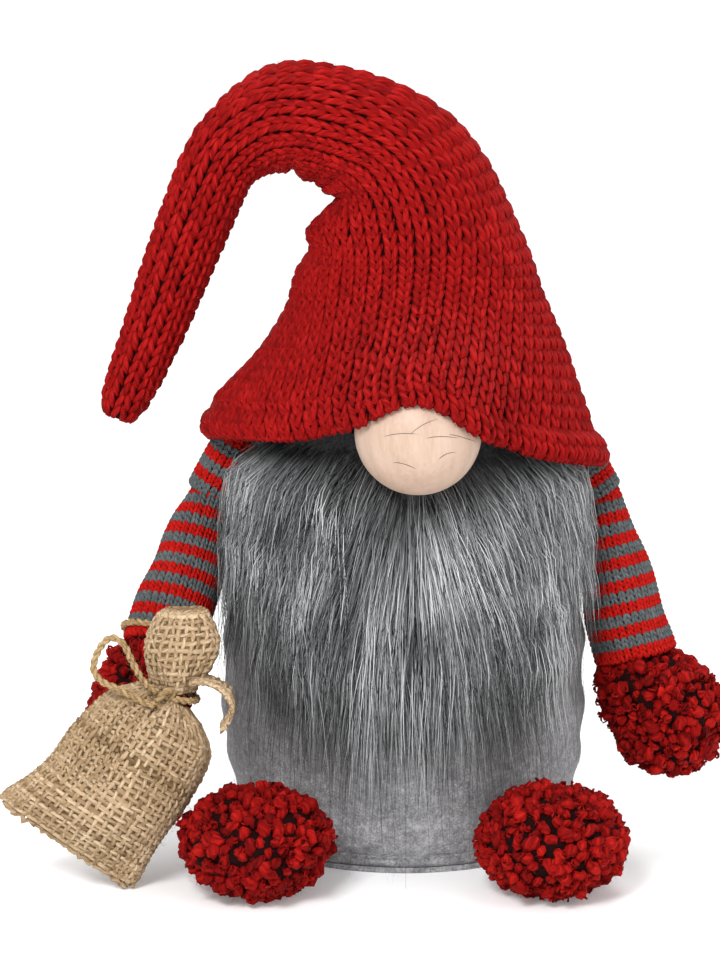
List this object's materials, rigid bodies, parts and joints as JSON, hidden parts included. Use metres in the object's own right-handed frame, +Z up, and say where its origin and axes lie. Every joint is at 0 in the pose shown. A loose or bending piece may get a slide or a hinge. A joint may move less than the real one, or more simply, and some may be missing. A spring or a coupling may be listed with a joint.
{
  "type": "tomte gnome figurine",
  "caption": "Soft standing gnome with a wired knitted hat, ball nose, long fur beard, felt body, striped arms that swing, bouclé mittens and feet, and a burlap sack tied to one wrist.",
  "frame": {"origin": "centre of the flat base, on the surface the gnome stands on", "axes": "+Z up, the face looks along -Y, +X is towards the free arm"},
  "size_m": [0.2648, 0.1842, 0.2926],
  "materials": {
    "knit_red": "matte",
    "knit_striped": "matte",
    "boucle_red": "matte",
    "felt_grey": "matte",
    "fur_grey": "satin",
    "fur_backing": "matte",
    "burlap": "matte",
    "jute_twine": "matte",
    "wood_pale": "satin",
    "card": "matte",
    "steel_wire": "satin",
    "fibrefill": "matte",
    "pellets": "matte",
    "glue": "satin"
  },
  "bodies": {
    "root": {"base_felt": "felt_grey", "base_board": "card", "pellet_bag": "pellets", "body_felt": "felt_grey", "body_stuffing": "fibrefill", "nose_ball": "wood_pale", "nose_glue": "glue", "beard_backing": "fur_backing", "beard_pile": "fur_grey", "hat_crown": "knit_red", "hat_crown_filling": "fibrefill", "hat_wire_lower": "steel_wire"},
    "hat_middle": {"hat_bridge": "knit_red", "hat_wire_middle": "steel_wire"},
    "hat_end": {"hat_tail": "knit_red", "hat_wire_tail": "steel_wire"},
    "shoulder_left": {"shoulder_tab_left": "knit_striped"},
    "shoulder_right": {"shoulder_tab_right": "knit_striped"},
    "arm_left": {"sleeve_left": "knit_striped", "arm_stuffing_left": "fibrefill", "mitten_left": "boucle_red", "mitten_stuffing_left": "fibrefill", "twine_wrist_loop": "jute_twine", "twine_hanger": "jute_twine"},
    "arm_right": {"sleeve_right": "knit_striped", "arm_stuffing_right": "fibrefill", "mitten_right": "boucle_red", "mitten_stuffing_right": "fibrefill"},
    "sack": {"sack_cloth": "burlap", "sack_filling": "fibrefill", "twine_neck_tie": "jute_twine", "twine_bow": "jute_twine"},
    "foot_left": {"foot_cover_left": "boucle_red", "foot_stuffing_left": "fibrefill"},
    "foot_right": {"foot_cover_right": "boucle_red", "foot_stuffing_right": "fibrefill"}
  },
  "joints": [
    {"name": "hat_fold", "type": "hinge", "parent": "root", "child": "hat_middle", "pos_m": [-0.018, 0, 0.269], "axis": [0, 1, 0], "range_deg": [-4, 45]},
    {"name": "hat_tail_bend", "type": "hinge", "parent": "hat_middle", "child": "hat_end", "pos_m": [-0.06, 0, 0.269], "axis": [0, 1, 0], "range_deg": [-6, 100]},
    {"name": "arm_swing_left", "type": "hinge", "parent": "root", "child": "shoulder_left", "pos_m": [-0.07203, 0, 0.131], "axis": [-1, 0, 0], "range_deg": [0, 45]},
    {"name": "arm_lift_left", "type": "hinge", "parent": "shoulder_left", "child": "arm_left", "pos_m": [-0.07203, 0, 0.131], "axis": [0, 1, 0], "range_deg": [0, 40]},
    {"name": "arm_swing_right", "type": "hinge", "parent": "root", "child": "shoulder_right", "pos_m": [0.07203, 0, 0.131], "axis": [-1, 0, 0], "range_deg": [-25, 70]},
    {"name": "arm_lift_right", "type": "hinge", "parent": "shoulder_right", "child": "arm_right", "pos_m": [0.07203, 0, 0.131], "axis": [0, -1, 0], "range_deg": [0, 55]},
    {"name": "sack_swing", "type": "hinge", "parent": "arm_left", "child": "sack", "pos_m": [-0.08413, -0.06717, 0.07045], "axis": [-1, 0, 0], "range_deg": [0, 20]},
    {"name": "foot_tilt_left", "type": "hinge", "parent": "root", "child": "foot_left", "pos_m": [-0.0535, -0.0561, 0.004], "axis": [-1, 0, 0], "range_deg": [0, 10]},
    {"name": "foot_tilt_right", "type": "hinge", "parent": "root", "child": "foot_right", "pos_m": [0.052, -0.0561, 0.004], "axis": [-1, 0, 0], "range_deg": [0, 10]}
  ]
}
